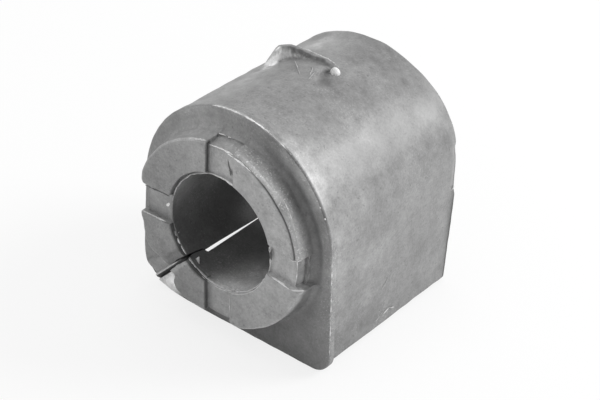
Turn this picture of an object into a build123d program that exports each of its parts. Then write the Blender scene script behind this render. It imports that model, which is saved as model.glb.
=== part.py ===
from build123d import *
from math import atan, cos, radians, sin, tan
import os

# Split D-shaped rubber bush for a stabiliser bar, moulded in one piece.
# Millimetres. X runs across the bush, +Y along the bore from the collar to the back, +Z up.
# The origin is on the bore axis, in the plane of the lip's front face.

# Bore and slit
bore_radius = 10.9
bore_length = 36.4  # from the lip's front face to the back face
mouth_chamfer = 0.8
slit_angle = 228.0  # degrees from +X towards +Z, so it leaves through the lower left corner
slit_width = 0.6

# Body: flat base, slightly narrowing sides and a crown flatter than a half circle
body_half_width = 20.3
body_side_top = 3.9  # height where the straight side ends
body_side_lean = 1.8  # degrees inwards, going down
body_top = 21.25
body_base = -20.75
shoulder_radius = 14.0
body_left_corner = 7.5  # below the slit's end
back_edge_chamfer = 0.3

# Lip: thin flange round the front face, widening towards its base
lip_thickness = 1.3
lip_half_width = 20.5
lip_arch_height = 1.0  # height of the arch's centre
lip_side_lean = 2.2  # degrees outwards, going down
lip_base = -21.4
lip_right_corner = 3.6
lip_left_corner = 8.0  # the slit leaves through this one
lip_edge_radius = 0.5

# Collar: a ring in front of the lip, with a flat land, a crease and a ridged bead
collar_height = 4.35
land_bore_radius = 11.15  # the lands stand slightly back from the bore
land_radius = 16.7
crease_width = 0.5
crease_depth = 0.3
bead_drop = 0.2  # how far the bead's top lies behind the land
bead_radius = 17.5
root_radius = 17.75
root_fillet = 1.3

# Notches: four channels that run over the land and down the collar's side
notch_width = 5.7
notch_depth = 1.0
notch_side_radius = 16.1  # at the channel's floor
notch_foot_radius = 16.6  # where the channel ends near the lip
notch_foot_height = 0.9  # how far in front of the lip it ends

# Lead-in: the land beside the slit slopes down to it, more so at the rim
lead_inner_width = 1.4
lead_outer_width = 3.3
lead_depth = 0.6

# Locating rib on the crown: a low wall with two legs towards the front
rib_top = 21.9
rib_root = 15.0  # inside the body's wall
rib_left = -10.0
rib_right = 3.4
rib_back = 24.0
rib_wall = 1.2
leg_length = 6.5
leg_splay = 1.6  # how far the right leg leans outwards at its end
leg_end_drop = 2.3

outside = 60.0  # larger than the bush, for cutting tools

# Derived values
arch_rise = body_top - body_side_top
shoulder_inset = body_half_width - shoulder_radius
crown_radius = (shoulder_inset**2 + arch_rise**2 - shoulder_radius**2) / (2 * (arch_rise - shoulder_radius))
crown_drop = crown_radius - arch_rise  # how far the crown's centre lies below the side's top
joint_angle = atan(crown_drop / shoulder_inset)  # direction of the point where shoulder meets crown
joint_x = crown_radius * cos(joint_angle)
joint_z = body_side_top - crown_drop + crown_radius * sin(joint_angle)
body_base_half = body_half_width - (body_side_top - body_base) * tan(radians(body_side_lean))
lip_base_half = lip_half_width + (lip_arch_height - lip_base) * tan(radians(lip_side_lean))
land_centre = Vector(0, -collar_height, 0)
slit_outwards = Vector(cos(radians(slit_angle)), 0, sin(radians(slit_angle)))
slit_upwards = Vector(sin(radians(slit_angle)), 0, -cos(radians(slit_angle)))

# The front view planes: local x is +X, local y is +Z, and extruding by a negative amount goes to the back
with BuildPart() as bush:
    # Body behind the lip
    with BuildSketch(Plane.XZ.offset(-lip_thickness)):
        with BuildLine():
            side = Line((body_base_half, body_base), (body_half_width, body_side_top))
            shoulder = TangentArc(side @ 1, (joint_x, joint_z), tangent=(0, 1))
            crown = TangentArc(shoulder @ 1, (-joint_x, joint_z), tangent=shoulder % 1)
            TangentArc(crown @ 1, (-body_half_width, body_side_top), tangent=crown % 1)
            Polyline(
                (-body_half_width, body_side_top),
                (-body_base_half, body_base),
                (body_base_half, body_base),
            )
        make_face()
    extrude(amount=lip_thickness - bore_length)
    lower_edges = bush.edges().filter_by(Axis.Y).group_by(Axis.Z)[0]
    fillet(lower_edges.sort_by(Axis.X)[0], body_left_corner)
    chamfer(bush.faces().sort_by(Axis.Y)[-1].edges(), back_edge_chamfer)

    # Lip
    with BuildSketch(Plane.XZ) as lip_outline:
        with BuildLine():
            ThreePointArc(
                (lip_half_width, lip_arch_height),
                (0, lip_arch_height + lip_half_width),
                (-lip_half_width, lip_arch_height),
            )
            Polyline(
                (-lip_half_width, lip_arch_height),
                (-lip_base_half, lip_base),
                (lip_base_half, lip_base),
                (lip_half_width, lip_arch_height),
            )
        make_face()
        fillet(lip_outline.vertices().group_by(Axis.Y)[0].sort_by(Axis.X)[0], lip_left_corner)
        fillet(lip_outline.vertices().group_by(Axis.Y)[0].sort_by(Axis.X)[-1], lip_right_corner)
    extrude(amount=-lip_thickness)
    fillet(bush.faces().sort_by(Axis.Y)[0].edges(), lip_edge_radius)

    # Collar: half section, local x is the radius, turned about the bore axis
    with BuildSketch():
        with BuildLine():
            Polyline(
                (root_radius + root_fillet, 0),
                (root_radius + root_fillet, lip_thickness),
                (0, lip_thickness),
                (0, -collar_height),
                (land_radius - crease_width / 2, -collar_height),
                (land_radius, crease_depth - collar_height),
                ((land_radius + bead_radius) / 2, bead_drop - collar_height),
                (bead_radius, 2 * crease_depth + bead_drop - collar_height),
                (root_radius, -root_fillet),
            )
            RadiusArc((root_radius, -root_fillet), (root_radius + root_fillet, 0), root_fillet)
        make_face()
    revolve(axis=Axis.Y)

# Locating rib: its plan is drawn from above, and its height is cut from the side
with BuildPart() as rib:
    with BuildSketch(Plane.XY.offset(rib_root)):
        with BuildLine():
            Polyline(
                (rib_left + rib_wall / 2, rib_back - leg_length),
                (rib_left + rib_wall / 2, rib_back - rib_wall / 2),
                (rib_right - rib_wall / 2, rib_back - rib_wall / 2),
                (rib_right - rib_wall / 2 + leg_splay, rib_back - leg_length),
            )
            offset(amount=rib_wall / 2, side=Side.BOTH)
        make_face()
    extrude(amount=rib_top - rib_root)
    with BuildSketch(Plane.YZ):
        with BuildLine():
            Polyline(
                (rib_back - 2 * rib_wall, rib_top),
                (rib_back - leg_length - rib_wall, rib_top - leg_end_drop),
                (rib_back - leg_length - rib_wall, outside),
                (rib_back - 2 * rib_wall, outside),
                close=True,
            )
        make_face()
    extrude(amount=outside, both=True, mode=Mode.SUBTRACT)

# Notches: a ring-shaped section, kept only inside a cross of two bars
with BuildPart() as notches:
    with BuildSketch():
        with BuildLine():
            Polyline(
                (0, -outside),
                (0, notch_depth - collar_height),
                (notch_side_radius, notch_depth - collar_height),
                (notch_foot_radius, -notch_foot_height),
                (outside, -notch_foot_height),
                (outside, -outside),
                close=True,
            )
        make_face()
    revolve(axis=Axis.Y)
    with BuildSketch(Plane.XZ):
        Rectangle(2 * outside, notch_width)
        Rectangle(notch_width, 2 * outside)
    extrude(amount=outside, mode=Mode.INTERSECT)

# Lead-in: a wedge that widens outwards, above the slit
with BuildPart() as lead_in:
    for reach, width in ((bore_radius - 1, lead_inner_width), (root_radius + root_fillet, lead_outer_width)):
        section = Plane(land_centre + slit_outwards * reach, x_dir=slit_upwards, z_dir=slit_outwards)
        with BuildSketch(section):
            with BuildLine():
                Polyline((-slit_width, lead_depth), (width, 0), (width, -1), (-slit_width, -1), close=True)
            make_face()
    loft()

with BuildPart() as rubber_bush:
    add(bush)
    add(rib)
    add(notches, mode=Mode.SUBTRACT)
    add(lead_in, mode=Mode.SUBTRACT)

    # Bore: half section, wider between the lands and flared at the back mouth
    with BuildSketch():
        with BuildLine():
            Polyline(
                (0, -outside),
                (land_bore_radius, -outside),
                (land_bore_radius, notch_depth - collar_height),
                (bore_radius, notch_depth - collar_height),
                (bore_radius, bore_length - mouth_chamfer),
                (bore_radius + mouth_chamfer, bore_length),
                (bore_radius + mouth_chamfer, outside),
                (0, outside),
                close=True,
            )
        make_face()
    revolve(axis=Axis.Y, mode=Mode.SUBTRACT)

    # Slit, from the bore out through the corner, over the whole length
    with BuildSketch(Plane.XZ.offset(outside)):
        with PolarLocations(outside / 2, 1, start_angle=slit_angle):
            Rectangle(outside, slit_width)
    extrude(amount=-2 * outside, mode=Mode.SUBTRACT)

rubber_bush.part.label = "rubber_bush"
os.makedirs("parts", exist_ok=True)
export_step(rubber_bush.part, "parts/rubber_bush.step")
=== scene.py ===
import bpy
import numpy as np
from mathutils import Matrix, Vector


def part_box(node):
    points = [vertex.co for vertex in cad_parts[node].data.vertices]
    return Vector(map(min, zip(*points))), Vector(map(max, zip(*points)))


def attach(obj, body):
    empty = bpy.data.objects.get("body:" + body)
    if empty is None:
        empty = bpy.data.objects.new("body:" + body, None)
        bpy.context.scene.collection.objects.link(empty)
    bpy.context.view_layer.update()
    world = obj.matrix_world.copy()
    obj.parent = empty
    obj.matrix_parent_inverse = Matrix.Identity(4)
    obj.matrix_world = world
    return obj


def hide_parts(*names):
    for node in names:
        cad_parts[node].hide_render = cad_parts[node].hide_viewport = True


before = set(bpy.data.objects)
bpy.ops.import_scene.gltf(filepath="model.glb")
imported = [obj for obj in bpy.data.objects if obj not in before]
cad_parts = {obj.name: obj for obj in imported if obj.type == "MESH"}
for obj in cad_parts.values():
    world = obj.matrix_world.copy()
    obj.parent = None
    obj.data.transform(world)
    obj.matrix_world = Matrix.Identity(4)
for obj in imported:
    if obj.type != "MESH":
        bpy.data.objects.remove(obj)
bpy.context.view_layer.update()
print("frame loaded:", sorted(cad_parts))

mm = 0.001
lowCorner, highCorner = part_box("rubber_bush")
floorLevel = lowCorner.z / mm

# Puts points (n, 3) in millimetres and a list of face index arrays into a mesh object
def makePiece(name, points, faceSets, sharpAngle=42.0):
    mesh = bpy.data.meshes.new(name)
    mesh.vertices.add(len(points))
    mesh.vertices.foreach_set("co", (points * mm).astype(np.float32).ravel())
    corners = np.concatenate([faces.ravel() for faces in faceSets])
    sizes = np.concatenate([np.full(len(faces), faces.shape[1]) for faces in faceSets])
    mesh.loops.add(len(corners))
    mesh.loops.foreach_set("vertex_index", corners.astype(np.int32))
    mesh.polygons.add(len(sizes))
    mesh.polygons.foreach_set("loop_start", (np.cumsum(sizes) - sizes).astype(np.int32))
    mesh.update(calc_edges=True)
    mesh.validate()
    mesh.polygons.foreach_set("use_smooth", np.ones(len(mesh.polygons), bool))
    mesh.set_sharp_from_angle(angle=np.radians(sharpAngle))
    piece = bpy.data.objects.new(name, mesh)
    bpy.context.scene.collection.objects.link(piece)
    return piece

# Quads of a grid whose point (row, column) is row * columns + column; a wrapped grid joins its last line to
# its first
def gridQuads(rows, columns, wrapRows=False, wrapColumns=False):
    index = np.arange(rows * columns).reshape(rows, columns)
    if wrapRows:
        index = np.vstack([index, index[:1]])
    if wrapColumns:
        index = np.hstack([index, index[:, :1]])
    return np.stack([index[:-1, :-1], index[1:, :-1], index[1:, 1:], index[:-1, 1:]], -1).reshape(-1, 4)

# Stores one number per vertex for the materials
def setAttribute(piece, name, values):
    attribute = piece.data.attributes.new(name, "FLOAT", "POINT")
    attribute.data.foreach_set("value", np.asarray(values, np.float32).ravel())

# Smooth random field from -1 to 1 or so: sine waves in random directions, each about size millimetres long,
# added up and divided by the root of their number
def softNoise(points, size, seed, waves=14):
    rng = np.random.default_rng(seed)
    directions = rng.normal(size=(waves, 3))
    directions /= np.linalg.norm(directions, axis=1)[:, None]
    pace = 2 * np.pi / (size * rng.uniform(0.7, 1.6, waves))
    phases = rng.uniform(0, 2 * np.pi, waves)
    field = np.zeros(points.shape[:-1])
    for direction, step, phase in zip(directions, pace, phases):
        field += np.sin(points @ direction * step + phase)
    return field / np.sqrt(waves)

# 0 below low, 1 above high, and a smooth S between
def smoothStep(values, low, high):
    t = np.clip((values - low) / (high - low), 0, 1)
    return t * t * (3 - 2 * t)

# Bell curve of the turn from centre, both in degrees
def turnBell(degrees, centre, width):
    turn = (degrees - centre + 180) % 360 - 180
    return np.exp(-((turn / width) ** 2))

# Value at each angle, read from (degrees, value) pairs and going on round the full turn
def aroundTurn(degrees, pairs):
    angles, values = zip(*sorted((angle % 360, value) for angle, value in pairs))
    return np.interp(degrees % 360, angles, values, period=360)

# Points evenly spaced by length along a broken line of (radius, depth) pairs
def resample(corners, count):
    corners = np.asarray(corners, float)
    reach = np.concatenate([[0], np.cumsum(np.linalg.norm(np.diff(corners, axis=0), axis=1))])
    wanted = np.linspace(0, reach[-1], count)
    return np.stack([np.interp(wanted, reach, corners[:, i]) for i in (0, 1)], -1)

# Points on an arc, angles in degrees
def arcPoints(centre, radius, start, end, count):
    angle = np.radians(np.linspace(start, end, count))
    return np.stack([centre[0] + radius * np.cos(angle), centre[1] + radius * np.sin(angle)], -1)

# Rounds the corner between two straight sides: the arc touches both, radius / tan(half angle) from the corner
def roundCorner(before, corner, after, radius, count=40):
    before, corner, after = (np.asarray(point, float) for point in (before, corner, after))
    backward = (before - corner) / np.linalg.norm(before - corner)
    forward = (after - corner) / np.linalg.norm(after - corner)
    half = np.arccos(np.clip(backward @ forward, -1, 1)) / 2
    centre = corner + (backward + forward) / np.linalg.norm(backward + forward) * radius / np.sin(half)
    first = corner + backward * radius / np.tan(half) - centre
    last = corner + forward * radius / np.tan(half) - centre
    turn = np.linspace(0, 1, count)[:, None]
    arc = first * (1 - turn) + last * turn
    return centre + arc / np.linalg.norm(arc, axis=1)[:, None] * radius

# Front view of a D shape, as a function that gives its radius at any angle. The arch is a half circle, or
# a flatter crown between two shoulder arcs that touch it and the sides.
def outlineRadius(shape):
    drop = shape["sideTop"] - shape["base"]
    baseHalf = shape["halfWidth"] + drop * np.tan(np.radians(shape["lean"]))
    rightTop, leftTop = (shape["halfWidth"], shape["sideTop"]), (-shape["halfWidth"], shape["sideTop"])
    rightBase, leftBase = (baseHalf, shape["base"]), (-baseHalf, shape["base"])
    rise = shape["top"] - shape["sideTop"]
    inset = shape["halfWidth"] - shape["shoulder"]
    if inset > 0:
        crown = (inset**2 + rise**2 - shape["shoulder"] ** 2) / (2 * (rise - shape["shoulder"]))
        joint = np.degrees(np.arctan((crown - rise) / inset))
        arch = [
            arcPoints((inset, shape["sideTop"]), shape["shoulder"], 0, joint, 60),
            arcPoints((0, shape["top"] - crown), crown, joint, 180 - joint, 400),
            arcPoints((-inset, shape["sideTop"]), shape["shoulder"], 180 - joint, 180, 60),
        ]
    else:
        arch = [arcPoints((0, shape["sideTop"]), shape["halfWidth"], 0, 180, 500)]
    corners = [
        roundCorner(leftTop, leftBase, rightBase, shape["leftCorner"]),
        roundCorner(leftBase, rightBase, rightTop, shape["rightCorner"]),
        [rightTop],
    ]
    path = np.concatenate(arch + corners)
    steps = np.linspace(0, 1, 24, endpoint=False)[:, None]
    dense = np.concatenate([a + (b - a) * steps for a, b in zip(path[:-1], path[1:])])
    angle = np.arctan2(dense[:, 1], dense[:, 0])
    distance = np.hypot(dense[:, 0], dense[:, 1])
    order = np.argsort(angle)
    return lambda theta: np.interp(theta, angle[order], distance[order], period=2 * np.pi)

lipShape = {
    "halfWidth": 20.5,
    "sideTop": 1.0,
    "top": 21.5,
    "shoulder": 20.5,
    "lean": 2.2,
    "base": floorLevel,
    "leftCorner": 8.0,
    "rightCorner": 3.6,
}

bodyShape = {
    "halfWidth": 20.35,
    "sideTop": 3.9,
    "top": 21.25,
    "shoulder": 14.0,
    "lean": -1.8,
    "base": -20.75,
    "leftCorner": 7.5,
    "rightCorner": 0.25,
}

bush = {
    "boreRadius": 10.9,
    "landBore": 11.25,
    "finRadius": 10.75,
    "finHeight": 0.4,
    "creaseRadius": 16.4,
    "beadRadius": 17.1,
    "beadSpan": (2, 88),
    "rimOffset": 0.7,  # from the crease to the rim of a land with no bead, before rimRadius moves it
    "rootRadius": 17.35,
    "rootFillet": 0.9,
    # outer edge of the lands that have no bead, by angle in degrees
    "rimRadius": [(100, 17.05), (120, 17.25), (140, 17.65), (155, 17.9), (162, 18.05), (167, 17.85), (170, 17.3),
                  (178, 17.4), (186, 17.4), (190, 17.75), (193, 17.95), (197, 17.8), (203, 18.2), (207, 18.65),
                  (211, 18.5), (214, 18.1), (217, 17.5), (220, 17.0), (226, 16.8), (230, 16.5), (233, 16.2),
                  (235, 16.9), (237, 17.8), (240, 18.4), (247, 18.25), (253, 17.75), (259, 17.4), (262, 17.3),
                  (280, 17.2), (284, 17.6), (290, 17.75), (300, 17.55), (320, 17.5), (335, 17.6), (350, 18.0),
                  (10, 17.4), (80, 17.3)],
    # the lip's lower left corner has sprung apart at the slit: extra radius by angle
    "cornerSpread": [(198, 0.0), (214, 0.0), (219, 0.36), (221, 0.46), (226.2, 0.42), (226.3, 0.1), (229, 0.05),
                     (232, -0.33), (237, -0.46), (243, -0.16), (252, 0.0)],
    # how far the lands stand back from the bore, as a share of landBore - boreRadius
    "landGap": [(10, 0.5), (85, 0.5), (97, 1.1), (165, 1.35), (180, 1.2), (225, 1.8), (262, 1.2), (283, 0.1),
                (350, 0.1)],
    "collarHeight": -lowCorner.y / mm,
    "notchWidth": 5.7,
    "notchDepth": 1.0,
    # right, top, left and bottom notch: outer edge of the floor, radius and depth of the foot, and the skew
    "notches": {
        360: (16.2, 16.62, 1.5, -0.7),
        450: (16.1, 16.75, 0.8, 0.0),
        540: (16.6, 17.1, 1.0, 0.0),
        270: (16.9, 17.4, 0.9, 0.0),
    },
    "wallRounding": 0.28,
    "slitAngle": 226.2,
    # middle line's distance from the centre, and half width at the bore and at the outside, by depth
    "slitMiddle": [(-4.35, 0.33), (-2.5, 0.4), (-0.8, 0.58), (0.0, 0.68), (0.55, 1.3), (14, 1.28), (36, 1.27)],
    "slitHalf": [(-4.35, 0.4), (-3.4, 0.36), (-2.8, 0.12), (0.5, 0.12), (0.6, 0.32), (5, 0.26), (9, 0.16),
                 (13, 0.07), (36, 0.1)],
    "slitOutside": [(-4.35, 0.4), (0.2, 0.38), (0.8, 0.12), (2.2, 0.12), (5.5, 0.4), (14, 0.4), (36, 0.2)],
    "leadInner": 1.2,
    "leadOuter": 2.0,
    "leadDepth": 0.85,
    "lipThickness": 1.3,
    "lipEdge": 0.28,
    "backEdge": 0.3,
    "mouthChamfer": 0.8,
    "length": highCorner.y / mm,
    # the outer corner below the slit: angles over which it is worn, and how deep
    "wornCorner": (219.3, 226.2),
    "wornDepth": 0.7,
    # back edge: how far it is pressed in by angle, and a chip that stands out (angle, width and height)
    "dent": [(-9, 0), (-7.5, 0.3), (-4, 0.38), (10, 0.7), (17, 0.88), (20, 0.8), (22, 0.42), (25, 0.3), (32, 0.14),
             (42, 0)],
    "chip": (-6.4, 0.9, 0.45),
    # swells of the back edge and the hollow along the crown: angle, width in degrees and height
    "swells": [(116, 10, 0.5), (101, 9, 0.27), (84, 7, 0.1), (68, 7, -0.1), (50, 7, 0.1)],
    "hollow": (117, 12, 0.21),
    "slowWaves": 0.05,
    "smallWaves": 0.03,
    # step between columns in degrees, and finer ones at the lip's sharp corner: angle, half span and step
    "fillerStep": 1.0,
    "sharpCorner": (314, 5, 0.4),
    # points along the half section: mouth, land, edge, side and foot, then rings on the face, body and back
    "stations": (18, 9, 16, 10, 12),
    "rings": (12, 52, 10),
}

# Middle line's distance from the centre and half width of the slit, at any depth and radius: the width goes
# over from the bore's to the outside's. The slit wanders a little along the collar's face.
def slitPlace(b, depth, radius):
    middle, half, outside = [np.interp(depth, *zip(*b[name])) for name in ("slitMiddle", "slitHalf", "slitOutside")]
    share = smoothStep(radius, 11.3, 15)
    half = half * (1 - share) + outside * share
    wander = np.sin(radius * 1.7) * 0.07 + np.sin(radius * 3.9 + 1) * 0.05
    return middle + wander * smoothStep(depth, -0.5, -1.5), half

# Columns of the bush, in order of angle from the slit round to the slit. Each row holds two anchors and the
# share between them; an anchor is (group's middle angle, sideways distance from it, whether it is the slit's).
def columnTable(b):
    half = b["notchWidth"] / 2
    nearWall = np.array([-0.7, -0.35, -0.2, -0.1, 0.0, 0.1, 0.2, 0.35, 0.7])
    across = np.concatenate([-half - nearWall[::-1], [-1.5, -0.5, 0.5, 1.5], half + nearWall])
    across = np.unique(np.round(across, 3))
    fromSlit = np.array([0, 0.03, 0.1, 0.25, 0.5, 0.9, 1.4, 2.0])
    corner, span, step = b["sharpCorner"]
    groups = [(b["slitAngle"], fromSlit, True)]
    groups += [(float(middle), across, False) for middle in (270, 360, 450, 540)]
    groups.append((b["slitAngle"] + 360, -fromSlit[::-1], True))
    anchors = [(middle, offset, isSlit) for middle, offsets, isSlit in groups for offset in offsets]
    rows = []
    for first, second in zip(anchors[:-1], anchors[1:]):
        rows.append((first, second, 0.0))
        if first[0] != second[0]:
            start = first[0] + np.degrees(first[1] / 18)
            end = second[0] + np.degrees(second[1] / 18)
            angles = np.arange(start + b["fillerStep"], end - b["fillerStep"] / 2, b["fillerStep"])
            if start < corner < end:
                fine = np.arange(corner - span + step / 2, corner + span, step)
                angles = np.sort(np.concatenate([angles[np.abs(angles - corner) > span], fine]))
            rows += [(first, second, (angle - start) / (end - start)) for angle in angles]
    rows.append((anchors[-1], anchors[-1], 0.0))
    return rows

# Angle of every column at a radius and a depth. An anchor stands at its middle line's angle plus
# arcsin(sideways distance / radius), and a filler's angle is the two anchors' angles mixed by its share.
def columnAngles(b, table, radius, depth):
    slitMiddle, slitHalf = slitPlace(b, depth, radius)
    skews = {middle: values[3] for middle, values in b["notches"].items()}

    def anchorAngle(anchors):
        middle = np.array([a[0] for a in anchors])[:, None]
        offset = np.array([a[1] for a in anchors])[:, None]
        isSlit = np.array([a[2] for a in anchors])[:, None]
        skew = np.array([skews.get(a[0], 0.0) for a in anchors])[:, None]
        side = np.where(middle < 300, 1, -1)
        slitOffset = offset + slitMiddle + side * slitHalf
        notchOffset = offset + skew * smoothStep(radius, 11, 17)
        sine = np.where(isSlit, slitOffset / radius, notchOffset / np.minimum(radius, 18.0))
        return np.radians(middle) + np.arcsin(np.clip(sine, -1, 1))

    share = np.array([row[2] for row in table])[:, None]
    first, second = ([row[i] for row in table] for i in (0, 1))
    return anchorAngle(first) * (1 - share) + anchorAngle(second) * share

# Half sections of the collar from the bore's mouth outwards, each with the same stations: over a land with a
# crease and bead, over a plain land, and along each notch. Also the number of stations of each of the parts.
def collarSections(b):
    top = -b["collarHeight"]
    floor = top + b["notchDepth"]
    finTop = floor - b["finHeight"]
    fin, bore, land = b["finRadius"], b["boreRadius"], b["landBore"]
    crease, bead, root, fillet = b["creaseRadius"], b["beadRadius"], b["rootRadius"], b["rootFillet"]
    rim = crease + b["rimOffset"]
    footArc = arcPoints((root + fillet, -fillet), fillet, 180, 90, 10)
    mouth = [(bore, floor + 0.5), (fin, finTop + 0.05), (fin + 0.08, finTop), (fin + 0.2, finTop + 0.05),
             (bore + 0.15, floor), (land, floor + 0.05), (land, top + 0.15), (land + 0.05, top + 0.04),
             (land + 0.18, top)]
    beaded = [(crease - 0.3, top), (crease - 0.1, top + 0.08), (crease, top + 0.32), (crease + 0.1, top + 0.24),
              (crease + 0.22, top + 0.16), (crease + 0.35, top + 0.2), (bead - 0.15, top + 0.42), (bead, top + 0.8)]
    plain = [(rim - 0.55, top), (rim - 0.2, top + 0.05), (rim - 0.05, top + 0.16), (rim, top + 0.4),
             (rim, top + 0.8)]
    sections = [[mouth, [mouth[-1], edge[0]], edge, [edge[-1], (root, -fillet)], footArc] for edge in (beaded, plain)]
    mouth = mouth[:3] + [(fin + 0.22, finTop + 0.06), (bore + 0.3, floor - 0.03), (land + 0.2, floor)]
    for side, foot, footDepth, _ in b["notches"].values():
        edge = [(side - 0.15, floor), (side - 0.08, floor - 0.07), (side, floor - 0.02), (side + 0.03, floor + 0.15)]
        cutArc = footArc[footArc[:, 1] > -footDepth].copy()
        cutArc[:, 0] += np.linspace(foot + 0.4 - cutArc[0, 0], 0, len(cutArc))
        end = (foot, -footDepth)
        last = [end, (cutArc[0][0], -footDepth)] + list(cutArc)
        sections.append([mouth, [mouth[-1], edge[0]], edge, [edge[-1], end], last])
    packed = []
    for section in sections:
        parts = [resample(part, count)[:-1] for part, count in zip(section, b["stations"])]
        packed.append(np.concatenate(parts + [[section[-1][-1]]]))
    return np.array(packed), [count - 1 for count in b["stations"]]

# How far the skin is pressed in at the right end of the back edge, in millimetres, less the chip
def backDent(b, degrees, depth):
    dent = np.interp((degrees + 180) % 360 - 180, *zip(*b["dent"]))
    angle, width, height = b["chip"]
    chip = height * turnBell(degrees, angle, width) * smoothStep(depth, 34.6, 35.8)
    return dent * smoothStep(depth, 34.2, 36.2) - chip

# The whole skin as one grid. Columns go round the bore from slit face to slit face, and stations follow a
# closed half section: bore mouth, land or notch, collar, lip face, lip edge, body, back edge, back face, bore.
def bushGrid(b):
    table = columnTable(b)
    columns = len(table)
    sections, counts = collarSections(b)
    half = b["notchWidth"] / 2
    middle = np.array([row[0][0] for row in table])
    sideways = np.array([row[0][1] for row in table])
    inGroup = np.array([row[2] == 0 and not row[0][2] for row in table])
    inNotch = smoothStep(np.abs(sideways), half + b["wallRounding"] / 2, half - b["wallRounding"] / 2) * inGroup
    which = np.array([list(b["notches"]).index(m) if m in b["notches"] else 0 for m in middle])

    rough = columnAngles(b, table, np.full((columns, 1), 16.0), np.full((columns, 1), -4.0))
    turn = np.degrees(rough) % 360
    beaded = ((turn > b["beadSpan"][0]) & (turn < b["beadSpan"][1])).astype(float)
    landSection = sections[0] * beaded[:, :, None] + sections[1] * (1 - beaded[:, :, None])
    notchSection = sections[2:][which]
    share = inNotch[:, None, None]

    # Lands: outer edge by angle, and the gap between the land and the bore
    radius, depth = landSection[..., 0], landSection[..., 1]
    outward = aroundTurn(turn, b["rimRadius"]) - (b["creaseRadius"] + b["rimOffset"])
    outward = outward * (1 - beaded) + beaded * 0.5 * smoothStep(turn, 66, 84)
    radius = radius + outward * smoothStep(radius, 14.5, b["creaseRadius"] + 0.1)
    gap = (aroundTurn(turn, b["landGap"]) - 1) * (b["landBore"] - b["boreRadius"])
    gap = gap * smoothStep(radius, b["boreRadius"] + 0.05, b["landBore"]) * (1 - smoothStep(radius, 12, 15))
    radius = radius + gap
    radius = radius * (1 - share[..., 0]) + notchSection[..., 0] * share[..., 0]
    depth = depth * (1 - share[..., 0]) + notchSection[..., 1] * share[..., 0]
    theta = columnAngles(b, table, radius, depth)

    # Lead-in above the slit, and the worn outer corner below it
    lineAngle = np.radians(b["slitAngle"]) + 2 * np.pi
    slitMiddle, slitHalf = slitPlace(b, depth, radius)
    across = np.sin(lineAngle - theta) * radius + slitMiddle - slitHalf
    reach = np.clip((radius - b["landBore"]) / (b["rootRadius"] - b["landBore"]), 0, 1.2)
    width = b["leadInner"] + (b["leadOuter"] - b["leadInner"]) * reach
    nearSlit = (theta > lineAngle - 1.0) & (depth < -2.5)
    slope = np.clip(1 - across / width, 0, 1) * b["leadDepth"] * (0.6 + 0.4 * reach)
    depth = np.where(nearSlit, np.maximum(depth, np.minimum(-b["collarHeight"] + slope, -2.5)), depth)
    return table, columns, counts, inNotch, which, sideways, radius, depth, theta

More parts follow.
